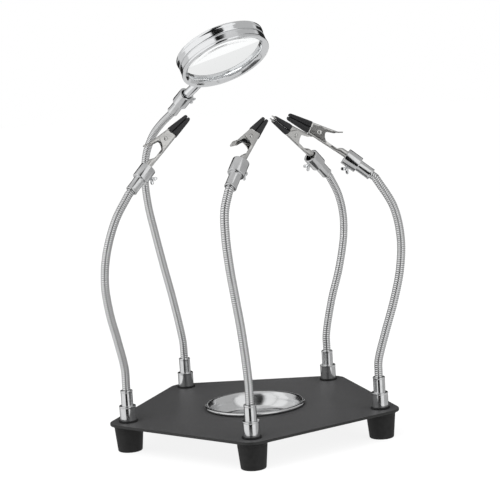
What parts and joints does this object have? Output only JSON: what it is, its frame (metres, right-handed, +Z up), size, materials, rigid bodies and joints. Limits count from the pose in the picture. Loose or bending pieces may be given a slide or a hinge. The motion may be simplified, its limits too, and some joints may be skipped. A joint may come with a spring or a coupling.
{
  "type": "helping hands clamp",
  "caption": "Pentagonal steel bench stand with rubber feet, a lift-out parts bowl, and bendable gooseneck arms that hold soft-jawed spring clips and a round magnifier.",
  "frame": {"origin": "middle of the parts bowl's floor, on the vertical axis through the middle of the pentagonal plate", "axes": "+Z up, -Y towards the corner of the plate that carries the front arm, +X to the right of someone who faces that corner"},
  "size_m": [0.2288, 0.2278, 0.317],
  "materials": {
    "plate": "fine-textured black powder coat",
    "rubber": "matte black moulded rubber",
    "sleeve": "satin black soft vinyl",
    "chrome": "polished bright nickel-chrome plate",
    "gooseneck": "bright plated spiral-wound steel",
    "nickel": "nickel-plated pressed sheet",
    "stainless": "polished stainless sheet",
    "zinc": "zinc-plated steel",
    "lens": "clear polished lens"
  },
  "bodies": {
    "stand": {"base_plate": "plate", "foot_front": "rubber", "foot_screw_front": "zinc", "foot_right": "rubber", "foot_screw_right": "zinc", "foot_rear": "rubber", "foot_screw_rear": "zinc", "foot_lens": "rubber", "foot_screw_lens": "zinc", "foot_left": "rubber", "foot_screw_left": "zinc"},
    "bowl": {"parts_bowl": "stainless"},
    "front_collar": {"base_collar_front": "chrome"},
    "front_neck": {"gooseneck_front": "gooseneck"},
    "front_head": {"clamp_head_front": "chrome"},
    "front_thumb": {"thumb_screw_front": "chrome"},
    "front_clip": {"clip_fixed_jaw_front": "nickel", "clip_fixed_sleeve_front": "sleeve", "clip_pivot_pin_front": "nickel", "clip_spring_front": "zinc"},
    "front_jaw": {"clip_moving_jaw_front": "nickel", "clip_moving_sleeve_front": "sleeve"},
    "right_collar": {"base_collar_right": "chrome"},
    "right_neck": {"gooseneck_right": "gooseneck"},
    "right_head": {"clamp_head_right": "chrome"},
    "right_thumb": {"thumb_screw_right": "chrome"},
    "right_clip": {"clip_fixed_jaw_right": "nickel", "clip_fixed_sleeve_right": "sleeve", "clip_pivot_pin_right": "nickel", "clip_spring_right": "zinc"},
    "right_jaw": {"clip_moving_jaw_right": "nickel", "clip_moving_sleeve_right": "sleeve"},
    "rear_collar": {"base_collar_rear": "chrome"},
    "rear_neck": {"gooseneck_rear": "gooseneck"},
    "rear_head": {"clamp_head_rear": "chrome"},
    "rear_thumb": {"thumb_screw_rear": "chrome"},
    "rear_clip": {"clip_fixed_jaw_rear": "nickel", "clip_fixed_sleeve_rear": "sleeve", "clip_pivot_pin_rear": "nickel", "clip_spring_rear": "zinc"},
    "rear_jaw": {"clip_moving_jaw_rear": "nickel", "clip_moving_sleeve_rear": "sleeve"},
    "lens_collar": {"base_collar_lens": "chrome"},
    "lens_neck": {"gooseneck_lens": "gooseneck"},
    "lens_head": {"clamp_head_lens": "chrome"},
    "lens_thumb": {"thumb_screw_lens": "chrome"},
    "lens_magnifier": {"magnifier_shank_lens": "chrome", "magnifier_frame_lens": "chrome", "magnifier_ring_lens": "chrome", "magnifier_glass_lens": "lens"},
    "left_collar": {"base_collar_left": "chrome"},
    "left_neck": {"gooseneck_left": "gooseneck"},
    "left_head": {"clamp_head_left": "chrome"},
    "left_thumb": {"thumb_screw_left": "chrome"},
    "left_clip": {"clip_fixed_jaw_left": "nickel", "clip_fixed_sleeve_left": "sleeve", "clip_pivot_pin_left": "nickel", "clip_spring_left": "zinc"},
    "left_jaw": {"clip_moving_jaw_left": "nickel", "clip_moving_sleeve_left": "sleeve"}
  },
  "joints": [
    {"name": "bowl_lift", "type": "slide", "parent": "stand", "child": "bowl", "axis": [0, 0, 1], "range_m": [0, 0.06]},
    {"name": "front_swivel", "type": "hinge", "parent": "stand", "child": "front_collar", "pos_m": [0, -0.1, 0.0118], "axis": [0, 0, 1], "range_deg": [-60, 60]},
    {"name": "front_lower_bend", "type": "hinge", "parent": "front_collar", "child": "front_neck", "pos_m": [0, -0.1, 0.03955], "axis": [0.866, -0.5, 0], "range_deg": [-20, 35]},
    {"name": "front_upper_bend", "type": "hinge", "parent": "front_neck", "child": "front_head", "pos_m": [-0.00533, -0.10924, 0.18815], "axis": [0.866, -0.5, 0], "range_deg": [-45, 60]},
    {"name": "front_thumb_turn", "type": "hinge", "parent": "front_head", "child": "front_thumb", "pos_m": [0.00198, -0.09657, 0.20329], "axis": [0.4767, 0.5473, -0.6879], "continuous": true},
    {"name": "front_clip_roll", "type": "hinge", "parent": "front_head", "child": "front_clip", "pos_m": [0.01245, -0.07213, 0.22027], "axis": [0.3349, 0.789, 0.515], "continuous": true},
    {"name": "front_jaw_open", "type": "hinge", "parent": "front_clip", "child": "front_jaw", "pos_m": [0.01032, -0.07209, 0.22159], "axis": [0.4081, -0.6142, 0.6755], "range_deg": [0, 25], "stiffness_Nm_per_rad": 0.05, "springref_deg": -17.19, "deforming": ["clip_spring_front"]},
    {"name": "right_swivel", "type": "hinge", "parent": "stand", "child": "right_collar", "pos_m": [0.09511, -0.0309, 0.0118], "axis": [0, 0, 1], "range_deg": [-60, 60]},
    {"name": "right_lower_bend", "type": "hinge", "parent": "right_collar", "child": "right_neck", "pos_m": [0.09511, -0.0309, 0.03955], "axis": [0.0349, 0.9994, 0], "range_deg": [-20, 35]},
    {"name": "right_upper_bend", "type": "hinge", "parent": "right_neck", "child": "right_head", "pos_m": [0.09986, -0.03107, 0.18567], "axis": [0.0349, 0.9994, 0], "range_deg": [-45, 60]},
    {"name": "right_thumb_turn", "type": "hinge", "parent": "right_head", "child": "right_thumb", "pos_m": [0.08351, -0.0305, 0.19891], "axis": [-0.6277, -0.1173, -0.7696], "continuous": true},
    {"name": "right_clip_roll", "type": "hinge", "parent": "right_head", "child": "right_clip", "pos_m": [0.05911, -0.02946, 0.21909], "axis": [-0.7981, 0.0279, 0.6018], "continuous": true},
    {"name": "right_jaw_open", "type": "hinge", "parent": "right_clip", "child": "right_jaw", "pos_m": [0.06061, -0.02916, 0.22108], "axis": [-0.0491, 0.9926, -0.1111], "range_deg": [0, 25], "stiffness_Nm_per_rad": 0.05, "springref_deg": -17.19, "deforming": ["clip_spring_right"]},
    {"name": "rear_swivel", "type": "hinge", "parent": "stand", "child": "rear_collar", "pos_m": [0.05878, 0.0809, 0.0118], "axis": [0, 0, 1], "range_deg": [-60, 60]},
    {"name": "rear_lower_bend", "type": "hinge", "parent": "rear_collar", "child": "rear_neck", "pos_m": [0.05878, 0.0809, 0.03955], "axis": [-0.6691, 0.7431, 0], "range_deg": [-20, 35]},
    {"name": "rear_upper_bend", "type": "hinge", "parent": "rear_neck", "child": "rear_head", "pos_m": [0.06872, 0.08985, 0.17826], "axis": [-0.6691, 0.7431, 0], "range_deg": [-45, 60]},
    {"name": "rear_thumb_turn", "type": "hinge", "parent": "rear_head", "child": "rear_thumb", "pos_m": [0.05737, 0.07963, 0.19275], "axis": [-0.7718, -0.0426, -0.6344], "continuous": true},
    {"name": "rear_clip_roll", "type": "hinge", "parent": "rear_head", "child": "rear_clip", "pos_m": [0.04035, 0.06349, 0.21401], "axis": [-0.5693, -0.5126, 0.6428], "continuous": true},
    {"name": "rear_jaw_open", "type": "hinge", "parent": "rear_clip", "child": "rear_jaw", "pos_m": [0.04215, 0.06368, 0.21575], "axis": [-0.4046, 0.8553, 0.3237], "range_deg": [0, 25], "stiffness_Nm_per_rad": 0.05, "springref_deg": -17.19, "deforming": ["clip_spring_rear"]},
    {"name": "lens_swivel", "type": "hinge", "parent": "stand", "child": "lens_collar", "pos_m": [-0.05878, 0.0809, 0.0118], "axis": [0, 0, 1], "range_deg": [-60, 60]},
    {"name": "lens_lower_bend", "type": "hinge", "parent": "lens_collar", "child": "lens_neck", "pos_m": [-0.05878, 0.0809, 0.03955], "axis": [-0.7071, -0.7071, 0], "range_deg": [-20, 30]},
    {"name": "lens_upper_bend", "type": "hinge", "parent": "lens_neck", "child": "lens_head", "pos_m": [-0.05685, 0.07897, 0.23651], "axis": [-0.7071, -0.7071, 0], "range_deg": [-30, 50]},
    {"name": "lens_thumb_turn", "type": "hinge", "parent": "lens_head", "child": "lens_thumb", "pos_m": [-0.04481, 0.06693, 0.24889], "axis": [0.8009, 0.5441, -0.25], "continuous": true},
    {"name": "lens_roll", "type": "hinge", "parent": "lens_head", "child": "lens_magnifier", "pos_m": [-0.0437, 0.06576, 0.25007], "axis": [0.6273, -0.5788, 0.521], "continuous": true},
    {"name": "left_swivel", "type": "hinge", "parent": "stand", "child": "left_collar", "pos_m": [-0.09511, -0.0309, 0.0118], "axis": [0, 0, 1], "range_deg": [-60, 60]},
    {"name": "left_lower_bend", "type": "hinge", "parent": "left_collar", "child": "left_neck", "pos_m": [-0.09511, -0.0309, 0.03955], "axis": [0.6428, -0.766, 0], "range_deg": [-20, 35]},
    {"name": "left_upper_bend", "type": "hinge", "parent": "left_neck", "child": "left_head", "pos_m": [-0.08415, -0.02171, 0.18238], "axis": [0.6428, -0.766, 0], "range_deg": [-45, 60]},
    {"name": "left_thumb_turn", "type": "hinge", "parent": "left_head", "child": "left_thumb", "pos_m": [-0.07236, -0.01181, 0.19673], "axis": [0.7789, -0.0188, -0.6269], "continuous": true},
    {"name": "left_clip_roll", "type": "hinge", "parent": "left_head", "child": "left_clip", "pos_m": [-0.05426, 0.00171, 0.21894], "axis": [0.6039, 0.4229, 0.6756], "continuous": true},
    {"name": "left_jaw_open", "type": "hinge", "parent": "left_clip", "child": "left_jaw", "pos_m": [-0.05617, 0.00182, 0.22057], "axis": [0.2466, -0.9052, 0.3461], "range_deg": [0, 25], "stiffness_Nm_per_rad": 0.05, "springref_deg": -17.19, "deforming": ["clip_spring_left"]}
  ]
}
